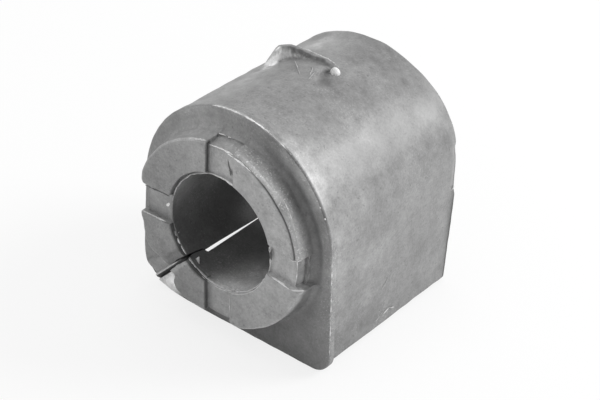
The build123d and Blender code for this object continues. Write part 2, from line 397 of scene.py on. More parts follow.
# Carries the grid on from the collar: rings that follow the lip's and the body's outlines, the back face and
# the bore. Each ring is (radius, angle, depth, name of its region).
def outerRings(b, table, columns, start):
    lipOutline, bodyRadius = outlineRadius(lipShape), outlineRadius(bodyShape)
    rings = []

    def lipRadius(theta):
        return lipOutline(theta) + aroundTurn(np.degrees(theta), b["cornerSpread"])

    # Radius and angle of a ring on an outline, found by a few rounds of substitution
    def ring(outline, y, inset=0.0, region="body"):
        reach = np.full((columns, 1), 24.0)
        for _ in range(4):
            angle = columnAngles(b, table, reach, np.full((columns, 1), y))
            reach = outline(angle) - inset
            if region in ("body", "backEdge", "back"):
                joined = np.minimum(reach, lipRadius(angle))
                settle = smoothStep(y, 1.3, 9.0) * np.ones_like(reach)
                low = smoothStep(np.degrees(angle) % 360, 320, 345) + (np.degrees(angle) % 360 < 200)
                reach = np.where(low > 0, joined * (1 - settle) + reach * settle, reach)
                reach = reach - backDent(b, np.degrees(angle), y)
        rings.append((reach, angle, y, region))
        return reach, angle

    edge = b["lipEdge"]
    faceRings, bodyRings, backRings = b["rings"]
    endRadius, endAngle = ring(lipRadius, 0.0, edge, "face")
    rings.pop()
    for step in np.linspace(0, 1, faceRings)[1:]:
        reach, angle = start[0] + (endRadius - start[0]) * step, start[1] + (endAngle - start[1]) * step
        rings.append((reach, angle, 0.0, "face"))
    for turn in np.radians([22, 45, 68, 90]):
        ring(lipRadius, edge * (1 - np.cos(turn)), edge * (1 - np.sin(turn)), "lipEdge")
    for y in (0.6, b["lipThickness"] - 0.1):
        ring(lipRadius, y, 0.0, "lipSide")
    ring(lipRadius, b["lipThickness"], 0.0, "lipBack")
    bodyEnd = b["length"] - b["backEdge"]
    # the body's rings stand closer together near the lip and near the back edge
    near = b["lipThickness"] + np.array([0.05, 0.35, 0.8])
    far = bodyEnd - np.array([0.5, 0.25, 0])
    for y in np.concatenate([near, np.linspace(near[-1] + 0.6, bodyEnd - 1.0, bodyRings), far]):
        ring(bodyRadius, y)
    for turn in np.radians([30, 60, 90]):
        ring(bodyRadius, bodyEnd + b["backEdge"] * np.sin(turn), b["backEdge"] * (1 - np.cos(turn)), "backEdge")
    outer, outerAngle = rings[-1][0], rings[-1][1]
    mouth = np.full((columns, 1), b["boreRadius"] + b["mouthChamfer"])
    length = np.full((columns, 1), b["length"])
    mouthAngle = columnAngles(b, table, mouth, length)
    for step in np.linspace(0, 1, backRings)[1:]:
        reach, angle = outer + (mouth - outer) * step, outerAngle + (mouthAngle - outerAngle) * step
        rings.append((reach, angle, b["length"], "back"))
    bore = np.full((columns, 1), b["boreRadius"])
    # the bore's rings stand at the same depths as the outside's, so that the slit's faces can be ladders
    inside = [y for _, _, y, region in rings if region in ("lipEdge", "lipSide", "lipBack", "body")]
    inside = [0.0] + [y for y in inside if y < bodyEnd - 0.4]
    boreEnd = -b["collarHeight"] + b["notchDepth"] + 0.5
    for y in inside[::-1] + [-0.6, -1.2, -1.8, -2.3, boreEnd + 0.2]:
        rings.append((bore, columnAngles(b, table, bore, np.full((columns, 1), y)), y, "bore"))
    return rings

# How light each part of the skin is before the mottling, by angle in degrees: painted shade in the corners,
# crease, gaps and notches, painted highlights along some edges, and the lands lighter on the right than the left
tones = {
    # lands: lighter on the right than on the left
    "land": [(270, 1.42), (290, 1.42), (330, 1.58), (0, 1.56), (30, 1.62), (60, 1.62), (85, 1.6), (100, 1.5),
             (125, 1.28), (150, 1.18), (180, 1.13), (215, 1.08), (250, 1.06)],
    # outer corner below the slit: pale where it is worn, and painted shade low beyond it
    "corner": [(203, 1.0), (212, 1.2), (219, 1.2), (225.9, 1.35), (226.5, 2.9), (230, 3.0), (236, 3.2),
               (240.5, 1.2), (244, 0.35), (252, 0.45), (262, 1)],
    # lip's face: painted shade from the collar, and dirt, darker on the right than on the left
    "face": [(270, 0.95), (285, 0.75), (310, 0.8), (335, 0.9), (0, 0.9), (20, 0.78), (45, 0.76), (65, 0.8),
             (78, 0.98), (90, 1.16), (130, 1.22), (160, 1.26), (200, 1.1), (240, 0.9)],
    # fillet at the collar's foot: painted shade, darkest on the right
    "root": [(270, 0.78), (330, 0.72), (345, 0.8), (352, 0.64), (10, 0.48), (40, 0.47), (62, 0.7), (80, 1.22),
             (100, 1.5), (150, 1.38), (200, 0.98)],
    # lip's rounded edge: a painted highlight along its top, and painted shade at its upper right
    "lipEdge": [(300, 0.9), (345, 0.95), (5, 1.0), (18, 0.6), (30, 0.4), (60, 0.4), (68, 1.3), (100, 1.8),
                (106, 1.0), (180, 1.0)],
    # gap behind a land's inner edge: painted shade
    "gap": [(90, 1.0), (97, 1.0), (120, 0.85), (160, 0.8), (172, 0.42), (258, 0.42), (264, 1.0)],
    "fin": [(55, 1.0), (68, 1.7), (98, 1.9), (104, 1.7), (165, 1.6), (175, 1.3), (187, 0.6), (222, 0.6),
            (230, 1.3), (250, 1.5), (266, 2.0), (300, 1.8), (345, 1.4)],
    "bore": 0.55,
    "back": 0.75,
    # painted shade on the slit's faces
    "slit": 0.3,
    # painted shade in the crease, as a line and as a soft shadow: way out from its radius, width, how dark, and
    # the angles between which it fades in
    "crease": [(0, 0.15, 0.62, 70, 50), (0.05, 0.4, 0.2, 74, 62)],
    # painted highlight on the bead, and painted shade on its outer side
    "beadLight": 0.25,
    "beadShadow": 0.24,
    # painted highlight along the rims of the plain lands
    "rimLight": 0.3,
    # for each notch, the sloping side beyond the floor, and how much darker its foot is with painted shade and dirt
    "channel": {360: (0.66, 0.48), 450: (1.05, 0.15), 540: (0.95, 0.6), 270: (0.95, 0.5)},
    # for each notch, the tone of the walls on the side of lower and of higher angle, with painted shade and dirt
    "wall": {360: (1.25, 0.8), 450: (0.8, 0.06), 540: (0.7, 1.25), 270: (0.2, 0.8)},
    # notch, side, how dark the painted shade on the floor beside that wall is, and how far it reaches
    "floorShade": [(540, 1, 0.3, 0.9), (360, -1, 0.08, 0.6), (270, -1, 0.3, 0.7), (450, 1, 0.25, 0.6)],
    "floorLight": 0.13,
    # lead-in beside the slit: the line at its edge and its slope, both darker with painted shade, and the light edge
    # of the land beyond the slit
    "leadLine": 0.42,
    "leadSlope": 0.78,
    "leadRim": 0.35,
    "slitEdge": 0.55,
    # painted shade along the back edge, low on the right and in the middle
    "backLow": 0.86,
    "backMiddle": 0.4,
}

# Painted highlights, painted shade and smears on the skin: place, size across, and change of tone
paintedLightAndSmears = [
    ((17.6, 0.6, 12.2), 2.6, 0.95), ((15.2, 1.2, 15), 2.8, 0.65), ((12.4, 0.6, 17.3), 2.4, 0.65),
    ((9.5, 0.8, 19.1), 2, 0.4), ((5.5, 1.2, 20.8), 2.4, 0.22), ((0.5, 2, 21.4), 3, 0.15), ((-4, 30, 21), 5, 0.14),
    ((5, 27, 20.7), 2.5, 0.08), ((15.3, 9.5, 15), 3.2, 0.05), ((-9.6, 11, 19), (3.6, 14, 4), 0.48),
    ((8, 6.2, 19.7), 2.2, 0.28), ((10.8, 3.4, 18.3), 2, 0.3), ((12.6, 9.7, 17.2), (2.4, 2, 2.4), 0.24),
    ((13.8, 6.5, 16.3), 1.8, 0.3), ((13.8, 15, 16.3), 2.2, 0.26), ((10.8, 14.7, 18.5), 1.8, 0.2),
    ((16.4, 30, 13.8), (1.6, 2.6, 2.6), 0.24), ((14.6, 25, 15.6), 2, 0.2), ((17.2, 2.4, 12.2), 2, -0.3),
    ((18.4, 1.8, 10), 1.8, -0.16), ((12.2, 31.2, 17.6), (2.4, 2.6, 2.4), -0.2),
    ((15.8, 35.3, 14.6), (2, 1.6, 3), -0.24), ((17.2, 27.5, 12.7), 1.4, 0.2),
    ((2.8, 36, 21.1), (4.5, 2.4, 2), -0.18), ((20, 35.6, -8), (2, 1.3, 6), -0.2), ((19.8, 34.6, -17.8), 2, -0.18),
    ((20.2, 34, 5.9), (2, 1.8, 3), -0.12), ((2.4, 27.6, 21.1), (1.6, 1.2, 1.6), -0.3),
    ((16.3, -4.35, -4.3), (1.2, 0.6, 1.3), -0.24), ((1.6, 21.5, 21.2), (0.6, 0.9, 1), -0.7),
    ((2.1, 20.4, 21.2), (0.7, 1, 1), -0.55), ((2.9, 19.3, 21.1), (0.8, 1, 1), -0.42),
    ((4.2, 18.2, 20.8), (1.3, 0.8, 1), -0.36), ((0.5, 20.6, 21.2), (0.8, 1, 1), 0.5),
    ((1.6, 18.2, 21.2), (0.5, 0.9, 1), 0.3), ((-3.6, 18.7, 20.9), (1.7, 1.3, 2), -0.15),
    ((-5.2, 20.6, 20.6), (1, 0.8, 2), 0.1), ((5.4, 16.6, 20.6), (0.5, 0.7, 1), 0.25),
    ((-14.4, 0, -18.6), (1.2, 1, 1.6), 0.7), ((-16.9, 0, -15.6), (0.9, 1, 1), 0.3),
    ((-8.4, 31, 19.6), (3.6, 7, 4), 0.5), ((19, 9, 9.5), (3, 4, 4), 0.12), ((19, 21, 9), (3, 5, 4), 0.12),
    ((20.5, 1.6, -0.5), (2, 0.9, 6), 0.14), ((20, 12.5, -3.5), 3, 0.22), ((20, 35.8, -8), (2, 1.2, 7), -0.15),
    ((20.6, 3.2, -17), (2, 1.6, 3.2), -0.16),
    ((5, 0.6, 21), (2.6, 1.2, 2), -0.22), ((8.4, 0.3, 19.7), (2.4, 1.2, 1.6), -0.24),
    ((7.4, -1.4, 15.6), (2, 1, 1.6), 0.28), ((9.6, -1.4, 14.4), (2, 1, 1.6), 0.22),
    ((15.9, -1.5, 6.6), (1.2, 1.2, 4), 0.32), ((16.8, -1.4, 1.5), (1.2, 1.2, 3), 0.35),
    ((16.4, -1.9, -3.2), (1.2, 1.4, 1), 0.55), ((13, -3.35, 11.2), (1.4, 0.8, 1.8), -0.2),
    ((3, 3.8, -10.5), (3.4, 2.6, 1.2), 0.3), ((-7.6, 13.6, -7.6), (2.4, 3, 2.4), 0.2),
    ((-10.8, 7.2, 1.6), (1, 2, 2), 0.4), ((15, 0.3, 14.9), (1.8, 0.8, 2), 0.2),
    ((19.4, 0, 6.6), (1, 0.8, 3.6), 0.22), ((-8.2, -2, 15.3), (3, 1.2, 2), 0.12), ((7.5, 18, 19.9), 3, -0.12),
    ((6, 34.5, 20.4), (3, 2.4, 2), -0.15), ((19.8, 6.8, -10), 2.5, -0.12), ((10, 12.5, 19), (3, 1.6, 2), -0.1),
    ((12.5, 19.5, 17.3), (2.6, 1.4, 2.4), 0.12), ((16.4, 6, 13.6), 1.7, 0.34), ((18.6, 4.6, 9.8), 1.8, 0.18),
    ((5, 16.2, 20.6), 2, -0.12), ((14.6, 33.5, 15.6), (2.2, 2.2, 3), -0.16), ((20, 14, -3), (5, 8, 8), 0.06),
    ((20, 9, -1.5), (3, 3, 3), 0.1), ((20, 35.8, -8), (2, 1, 7), -0.2), ((20.6, 3.2, -16.8), (2, 1.8, 3.4), -0.18),
    ((19.8, 26, -13), (3, 5, 4), -0.08), ((20.1, 21.5, 3), 2.4, 0.12), ((-3, 6.5, 21), (6, 3, 3), 0.12),
    ((1.7, 8.8, 21.2), 2, 0.18), ((14, 31, 16), 2.2, 0.1), ((4, 30.5, 20.7), 2.2, -0.24),
    ((8.5, 31.5, 19.3), 2.4, -0.22), ((0.5, 31.5, 21.2), 2.2, -0.15), ((17.5, 28, 11), 2.6, -0.2),
    ((18.6, 33, 8.5), 2.4, -0.18), ((17.4, 20, 12.2), 3, -0.14), ((3.6, 19, 21), 1.6, -0.22),
    ((10, 22, 18.9), 1.8, -0.1), ((11, 14, 18.4), 2.6, -0.1), ((20.2, 3.6, 6.5), 4, 0.2),
    ((20.4, 2.2, -1), 3.2, 0.2), ((20.5, 3.6, -6.5), 2.4, 0.1), ((20.6, 7.5, -15.8), 1.9, -0.3),
    ((20.2, 11, -17), 2, -0.2), ((19.9, 15.5, -18), 1.8, -0.22), ((20.9, 6.5, -19.5), 1.6, -0.25),
    ((20.8, 3.5, -13.5), 1.6, 0.15), ((20.1, 12.6, -12.6), 2.6, 0.08), ((19.9, 18.5, -12), 2.2, 0.08),
    ((19.8, 27, -9), 3.4, -0.06), ((-12, 3, 16.6), 3.5, -0.08), ((2, 8, 21.3), 3, -0.1), ((-6, 12, 20.6), 3, 0.08),
]

# Tone inside the bore: painted light on its lower right near the mouth, a little on its upper left, painted shade
# near the slit
def boreTone(degrees, depth):
    front = 1.6 * np.exp(-(depth + 1.5) / 5.5)
    glow = front * turnBell(degrees, 290, 45) * smoothStep(degrees, 246, 280)
    glow = glow + 0.4 * np.exp(-(depth + 2) / 5) * turnBell(degrees, 152, 24)
    return tones["bore"] * (1 + 3.0 * np.clip(glow, 0, 1.6)) * (1 - 0.38 * turnBell(degrees, 212, 28))

# Tone of the collar, from the lands' tone by angle: painted shade in the gap behind a land's inner edge, in the
# crease, under the bead and in the notches, painted highlights on the bead and along the rims, and lighter on the fin
def collarTone(b, parts, inNotch, which, sideways, radius, depth, degrees):
    edges = np.cumsum([0] + parts)
    mouth, land, bead, side = (slice(a, c) for a, c in zip(edges[:4], edges[1:5]))
    landTone = aroundTurn(degrees, tones["land"])
    rootTone = aroundTurn(degrees, tones["root"])
    tone = landTone.copy()
    top = -b["collarHeight"]
    inNotch = inNotch[:, None]
    isLand = 1 - inNotch
    beaded = (degrees > b["beadSpan"][0]) & (degrees < b["beadSpan"][1])

    across, turn, deep = radius[:, mouth], degrees[:, mouth], depth[:, mouth]
    inGap = (across > b["boreRadius"] + 0.12) & (deep > top + 0.3) & (isLand > 0.5)
    onFin = across < b["boreRadius"] + 0.1
    inBore = (across < b["boreRadius"] + 0.02) & (deep > top + 0.75)
    # painted shade in the gap behind a land's inner edge
    tone[:, mouth] *= np.where(inGap, aroundTurn(turn, tones["gap"]), 1.0)
    tone[:, mouth] *= np.where(onFin, aroundTurn(turn, tones["fin"]), 1.0)
    tone[:, mouth] = np.where(inBore, boreTone(turn, deep) * 1.1, tone[:, mouth])
    tone[:, 0] = boreTone(degrees[:, 0], depth[:, 0])

    across, turn, deep, onBead = radius[:, bead], degrees[:, bead], depth[:, bead], beaded[:, bead] * isLand
    # painted shade in the crease
    for out, width, dark, low, high in tones["crease"]:
        line = np.exp(-(((across - b["creaseRadius"] - out) / width) ** 2)) * onBead
        tone[:, bead] *= 1 - dark * line * smoothStep(turn, low, high)
    # painted highlight on the bead, and painted shade on its outer side
    tone[:, bead] *= 1 + tones["beadLight"] * turnBell(turn, 60, 13) * onBead
    shadow = smoothStep(across, b["creaseRadius"] + 0.4, b["beadRadius"]) * smoothStep(turn, 56, 40)
    tone[:, bead] *= 1 - tones["beadShadow"] * shadow * onBead
    # painted highlight along the rims of the plain lands
    onRim = ~beaded[:, bead] * isLand * (deep < top + 0.5) * (deep > top + 0.03)
    tone[:, bead] *= 1 + tones["rimLight"] * (1 - turnBell(turn, 335, 25)) * onRim

    # down the collar's side the tone goes over to the root's, later and with painted shade where there is a bead
    share = np.arange(parts[3]) / parts[3]
    mix = np.where(beaded[:, side], smoothStep(share, -0.1, 1.0), smoothStep(share, 0.0, 0.45))
    sideTone = np.where(beaded[:, side], tone[:, side] * 0.88, tone[:, side])
    tone[:, side] = sideTone * (1 - mix) + rootTone[:, side] * mix
    tone[:, edges[-2]:] = rootTone[:, edges[-2]:]

    # notches: the channel's side with painted shade and dirt at its foot, the floor, the walls with painted shade
    # and dirt, and the painted shade beside the walls
    notches = list(b["notches"])
    channelTones = np.array([tones["channel"][notches[w]] for w in which])
    footShadeAndDirt = channelTones[:, :1] - channelTones[:, 1:] * smoothStep(share, 0.6, 0.95)
    tone[:, side] = tone[:, side] * isLand + footShadeAndDirt * landTone[:, side] * inNotch
    tone[:, land] *= 1 + tones["floorLight"] * inNotch
    wallTone = np.array([tones["wall"][notches[w]][int(s > 0)] for w, s in zip(which, sideways)])[:, None]
    onTop = (which == notches.index(450))[:, None]
    halfWay = smoothStep(depth, -3.3, -3.1) * smoothStep(depth, -1.3, -1.8)
    onWall = 4 * inNotch * isLand * smoothStep(depth, -0.9, -1.5) * (1 - 0.7 * onTop * halfWay)
    tone *= 1 - (1 - wallTone) * onWall
    for middle, hand, dark, width in tones["floorShade"]:
        beside = np.exp(-((b["notchWidth"] / 2 - sideways * hand) / width))[:, None]
        tone *= 1 - dark * beside * inNotch * (which == notches.index(middle))[:, None]
    return tone

# Tone of every point of the skin: the collar's, then each ring's by its region, then the slit's corner and
# lead-in, the painted shade along the back edge, and the patches of painted highlight, painted shade and smears
def skinTone(b, parts, rings, inNotch, which, sideways, radius, depth, theta):
    degrees = np.degrees(theta) % 360
    tone = np.ones_like(theta)
    firstRing = radius.shape[1] - len(rings)
    collar = (array[:, :firstRing] for array in (radius, depth, degrees))
    tone[:, :firstRing] = collarTone(b, parts, inNotch, which, sideways, *collar)
    for i, (_, _, y, region) in enumerate(rings):
        column = firstRing + i
        turn = degrees[:, column]
        # root and face tones hold painted shade from the collar
        if region == "face":
            mix = smoothStep(i, 0, 4)
            root, face = (aroundTurn(turn, tones[name]) for name in ("root", "face"))
            tone[:, column] = root * (1 - mix) + face * mix
        # painted highlight and painted shade on the lip's rounded edge
        elif region == "lipEdge":
            tone[:, column] = aroundTurn(turn, tones["lipEdge"])
        elif region == "back":
            tone[:, column] = tones["back"]
        elif region == "bore":
            tone[:, column] = boreTone(turn, y)

    # the worn pale corner below the slit, with painted shade low beyond it
    cornered = (radius > 19.5) & (np.abs(depth) < 0.5) & (degrees > 203) & (degrees < 262)
    tone = np.where(cornered, aroundTurn(degrees, tones["corner"]), tone)
    flat = (radius > b["landBore"] + 0.1) & (depth < -3.3)
    tone[1:5] *= 1 + tones["slitEdge"] * flat[1:5]
    inFront = (depth < 0.3) & (radius > b["landBore"])
    fromSlit = np.radians(b["slitAngle"] - degrees) * radius
    leadWidth = b["leadInner"] * radius / b["boreRadius"]
    # painted shade along the lead-in's edge and on its slope
    tone = tone * (1 - tones["leadLine"] * np.exp(-(((fromSlit - leadWidth) / 0.2) ** 2)) * inFront)
    onLead = (fromSlit > 0.02) & (fromSlit < leadWidth) & inFront
    tone = tone * np.where(onLead, tones["leadSlope"] + tones["leadRim"] * smoothStep(radius, 20, 22), 1.0)
    # painted shade on the slit's faces
    tone[[0, -1]] = tones["slit"]

    # painted shade along the back edge
    onEdge = np.array([False] * firstRing + [ring[3] in ("body", "backEdge") for ring in rings])
    onEdge = onEdge * smoothStep(depth, b["length"] - 1.0, b["length"] - 0.25)
    turn = (degrees + 180) % 360 - 180
    low = smoothStep(turn, -56, -48) * smoothStep(turn, -5, -12)
    middle = smoothStep(turn, -12, -5) * smoothStep(turn, 24, 16)
    tone *= 1 - (tones["backLow"] * low + tones["backMiddle"] * middle) * onEdge
    points = np.stack([radius * np.cos(theta), depth, radius * np.sin(theta)], -1)
    # patches of painted highlight, painted shade and smears
    for place, size, change in paintedLightAndSmears:
        away = np.linalg.norm((points - place) / size, axis=-1)
        tone = tone * (1 + change * np.exp(-(away**2)) * (1 + 0.4 * softNoise(points, np.min(size) * 0.9, 31)))
    return tone

# Share of pale specks: more of them on the bead, along the lip's right edge, low on the right side, in the
# bore's mouth and across the crown
def skinDust(radius, depth, theta):
    degrees = (np.degrees(theta) + 180) % 360 - 180
    outer = radius > 20
    bead = smoothStep(radius, 16.3, 16.8) * (depth < -1.2) * smoothStep(degrees, 0, 6) * smoothStep(degrees, 92, 84)
    edge = np.exp(-(((depth - 0.8) / 2.2) ** 2)) * (radius > 19.3) * smoothStep(degrees, -50, -25)
    arch = np.exp(-((depth / 1.2) ** 2)) * outer * (degrees > 14)
    low = smoothStep(degrees, -30, -41) * (degrees > -60) * (depth > 2) * smoothStep(depth, 24, 18)
    mouth = (radius < 11) * (depth < 8)
    crown = turnBell(degrees, 84, 20) * smoothStep(np.abs(depth - 21), 9, 3) * outer
    return 0.35 + 1.3 * bead + edge * smoothStep(degrees, 14, 4) + 0.5 * (arch + mouth + crown) + 0.8 * low

# The skin: the grid of bushGrid and outerRings, worn, swollen and uneven as moulded rubber is, with its two
# ends closed by the slit's faces
def buildBush(b):
    table, columns, parts, inNotch, which, sideways, radius, depth, theta = bushGrid(b)
    rings = outerRings(b, table, columns, (radius[:, -1:], theta[:, -1:]))
    radius = np.hstack([radius] + [ring[0] for ring in rings])
    theta = np.hstack([theta] + [ring[1] for ring in rings])
    depth = np.hstack([depth] + [np.full((columns, 1), float(ring[2])) for ring in rings])
    tone = skinTone(b, parts, rings, inNotch, which, sideways, radius, depth, theta)

    # the outer corner below the slit is worn to a slope
    degrees = np.degrees(theta) % 360
    start, end = b["wornCorner"]
    besideSlit = smoothStep(degrees, start, end) * (degrees < end + 0.1) * (radius > 20) * (depth < 0.4)
    depth = depth + besideSlit * b["wornDepth"]

    # swells at the back edge and a hollow along the crown, then slow waves over the body and small ones
    points = np.stack([radius * np.cos(theta), depth, radius * np.sin(theta)], -1)
    outer = (radius > 19) * smoothStep(depth, 1.3, 4)
    swell = sum(height * turnBell(degrees, turn, width) for turn, width, height in b["swells"])
    turn, width, height = b["hollow"]
    radius = radius + outer * swell * smoothStep(depth, 33.0, 36.2) - outer * height * turnBell(degrees, turn, width)
    slow = softNoise(points, 13.0, 3) * b["slowWaves"]
    small = softNoise(points, 3.2, 5) * b["smallWaves"]
    onSkin = (radius > 12.5) & (depth > 1.5) & (depth < b["length"] - 0.1)
    radius = radius + np.where(onSkin, slow + small, small * (radius > 12))
    collar = (depth < -0.2) & (radius > b["boreRadius"] + 0.3)
    depth = depth + np.where(collar, softNoise(points, 4.0, 8) * b["slowWaves"], 0)
    fin = (radius < b["boreRadius"] - 0.02) & (depth < 0)
    ragged = softNoise(points * [1, 0.2, 1], 1.6, 9) * fin
    radius = radius + ragged * 0.1
    depth = depth + ragged * 0.12

    stations = radius.shape[1]
    points = np.stack([radius * np.cos(theta), depth, radius * np.sin(theta)], -1)
    quads = gridQuads(columns, stations, wrapColumns=True)

    # slit faces: one polygon before the lip's face, a ladder of quads, and one polygon at the back edge
    firstRing = stations - len(rings)
    regions = [ring[3] for ring in rings]
    rungs = sum(region in ("lipEdge", "lipSide", "lipBack", "body") for region in regions) - 1
    outside = firstRing + regions.index("lipEdge") - 1 + np.arange(rungs)
    inside = firstRing + regions.index("bore") + np.arange(rungs)[::-1]
    ladder = np.stack([outside[:-1], outside[1:], inside[1:], inside[:-1]], -1)
    before = np.concatenate([np.arange(outside[0] + 1), np.arange(inside[0], stations)])[None, :]
    behind = np.arange(outside[-1], inside[-1] + 1)[None, :]
    caps = [ladder, before, behind]
    caps += [(cap + (columns - 1) * stations)[:, ::-1] for cap in caps]
    piece = makePiece("bushSkin", points.reshape(-1, 3), [quads] + caps)
    setAttribute(piece, "tone", tone)
    setAttribute(piece, "dust", skinDust(radius, depth, theta))
    return piece

skin = buildBush(bush)
print("bush skin:", len(skin.data.vertices), "points")

# The wall on the crown, in plan: its left and right ends, its back, the left leg's end, and its thickness
crownRib = {
    "left": -9.4,
    "right": 2.7,
    "back": 23.4,
    "legFront": 17.9,
    "wall": 1.15,
    "slope": 0.3,  # run of the wall's sides
    "top": [(-11, 21.5), (-9.4, 21.85), (-6, 22.0), (0, 21.9), (2, 21.55), (3.5, 21.5), (6, 21.2)],
    "knob": (2.85, 22.0, 0.9, 0.95),  # place in plan, radius and height
    # painted highlight on the knob
    "knobTone": 3.0,
    # where the painted light on the front ends, as a share of the height, from left to right
    "paintedLightTop": [(-9.2, 1.0), (-8.5, 0.8), (-7.4, 0.62), (-6.0, 0.5), (-4.5, 0.25)],
    "paintedLightTone": 2.3,
    "shadeTone": 0.36,
    # painted spots of light and shade: place in plan, size each way, and change of tone
    "paintedLightSpots": [(-8.8, 20.3, 1.0, 2.5, 1.2), (-9.4, 18.4, 0.8, 1.6, 0.8), (1.5, 21.4, 0.55, 0.8, -0.5)],
    "xRange": (-12.5, 7.5),
    "yRange": (15.5, 25.6),
    "pitch": 0.12,
    "sunk": 0.22,
}

# Distance in plan from points to the nearest of the straight lines between corners
def lineDistance(x, y, corners):
    nearest = np.full(x.shape, 99.0)
    for (ax, ay), (bx, by) in zip(corners[:-1], corners[1:]):
        dx, dy = bx - ax, by - ay
        along = np.clip(((x - ax) * dx + (y - ay) * dy) / (dx * dx + dy * dy), 0, 1)
        nearest = np.minimum(nearest, np.hypot(x - ax - along * dx, y - ay - along * dy))
    return nearest

# Tone of the rib: painted light on the front from its foot up to a jagged limit, most of all inside the left
# leg, and painted shade above that limit. Painted spots of light and shade multiply it, and the knob has a painted
# highlight.
def ribTone(r, x, y, plan, away, wall, bead):
    jagged = softNoise(plan, 0.9, 25)
    limit = np.interp(x, *zip(*r["paintedLightTop"]))
    inFront = (y < r["back"]) * smoothStep(x, r["left"] - 0.2, r["left"] + 0.5)
    dark = smoothStep(wall, limit, limit + 0.15) * (1 - 0.5 * smoothStep(away, 0.35, 0.1))
    pale = smoothStep(wall + jagged * 0.05, 0.05, 0.16) * smoothStep(wall + jagged * 0.08, limit, limit - 0.12)
    pale = pale * (0.35 + 0.65 * smoothStep(x + jagged * 0.5, -6.3, -7.2)) * smoothStep(x, -2.6, -4.2)
    pale = pale * smoothStep(y, r["legFront"] + 0.6, r["legFront"] + 2.2)
    tone = 1 + inFront * (r["paintedLightTone"] * pale - r["shadeTone"] * dark * (1 + 0.35 * jagged))
    for spotX, spotY, sizeX, sizeY, change in r["paintedLightSpots"]:
        spot = np.exp(-(((x - spotX) / sizeX) ** 2) - ((y - spotY) / sizeY) ** 2)
        tone = tone * (1 + change * spot * (1 + 0.5 * softNoise(plan, 1.3, 24)))
    return np.where(bead > 0.25, r["knobTone"], np.clip(tone, 0.35, 3.4))

# Low rib on the crown, as a height over a fine grid in plan: inside the wall's width the rib's top, outside
# it a little below the crown's skin, and an S between. Each row is closed underneath, and the ends are capped.
def buildRib(r):
    crown = outlineRadius(bodyShape)
    angles = np.linspace(np.radians(40), np.radians(140), 800)
    reach = crown(angles)
    crownX, crownZ = (reach * np.cos(angles))[::-1], (reach * np.sin(angles))[::-1]
    xs = np.arange(*r["xRange"], r["pitch"])
    ys = np.arange(*r["yRange"], r["pitch"])
    y, x = np.meshgrid(ys, xs, indexing="ij")
    base = np.interp(x, crownX, crownZ)
    plan = np.stack([x, y, base], -1)
    shift = softNoise(plan, 5.0, 21) * 0.14 + softNoise(plan, 1.7, 22) * 0.05
    corners = [(r["left"] - 0.2, r["legFront"] + 0.6), (r["left"], r["back"] - 1.3), (r["left"] + 1.3, r["back"]),
               (r["right"] - 1.0, r["back"]), (r["right"], r["back"] - 0.9)]
    away = lineDistance(x, y, corners) + shift
    wall = smoothStep(away, r["wall"] / 2 + r["slope"], r["wall"] / 2 - r["slope"])
    top = np.interp(x, *zip(*r["top"])) + softNoise(plan, 3.0, 23) * 0.08
    rounded = 0.18 * np.clip(away / (r["wall"] / 2), 0, 1) ** 2
    # both legs run down towards their front ends, the left one almost to the skin
    forward = smoothStep(y, r["back"] - 0.8, r["legFront"] - 0.6)
    leftLeg = x < (r["left"] + r["right"]) / 2
    height = np.clip(top - base, 0.32, None) * (1 - forward * np.where(leftLeg, 0.95, 0.55)) - rounded
    foot = 0.3 * np.exp(-np.clip(away - r["wall"] / 2, 0, None) / 0.45)
    z = base - r["sunk"] + foot + np.clip(height + r["sunk"] - foot, 0, None) * wall
    knobX, knobY, knobRadius, knobHeight = r["knob"]
    fromKnob = np.hypot(x - knobX, y - knobY) / knobRadius
    bead = np.sqrt(np.clip(1 - fromKnob**2, 0, 1))
    z = np.maximum(z, base - r["sunk"] + (knobHeight + r["sunk"]) * bead)
    edge = (x < r["xRange"][0] + 0.3) | (x > r["xRange"][1] - 0.45) | (y < r["yRange"][0] + 0.3)
    z = np.where(edge | (y > r["yRange"][1] - 0.3), base - r["sunk"], z)

    tone = ribTone(r, x, y, plan, away, wall, bead)
    rows = np.stack([x, y, z], -1)
    under = rows[:, [-1, 0]] * [1, 1, 0] + [0, 0, 1] * (base[:, [-1, 0], None] - 1.0)
    points = np.concatenate([rows, under], 1)
    tone = np.concatenate([tone, tone[:, [-1, 0]]], 1)
    count = points.shape[1]
    quads = gridQuads(len(ys), count, wrapColumns=True)[:, ::-1]
    frontCap = np.arange(count)[None, :]
    backCap = (np.arange(count) + (len(ys) - 1) * count)[::-1][None, :]
    piece = makePiece("crownRib", points.reshape(-1, 3), [quads, frontCap, backCap])
    setAttribute(piece, "tone", tone)
    setAttribute(piece, "dust", np.full(tone.shape, 0.8))
    return piece

rib = buildRib(crownRib)
print("crown rib:", len(rib.data.vertices), "points")
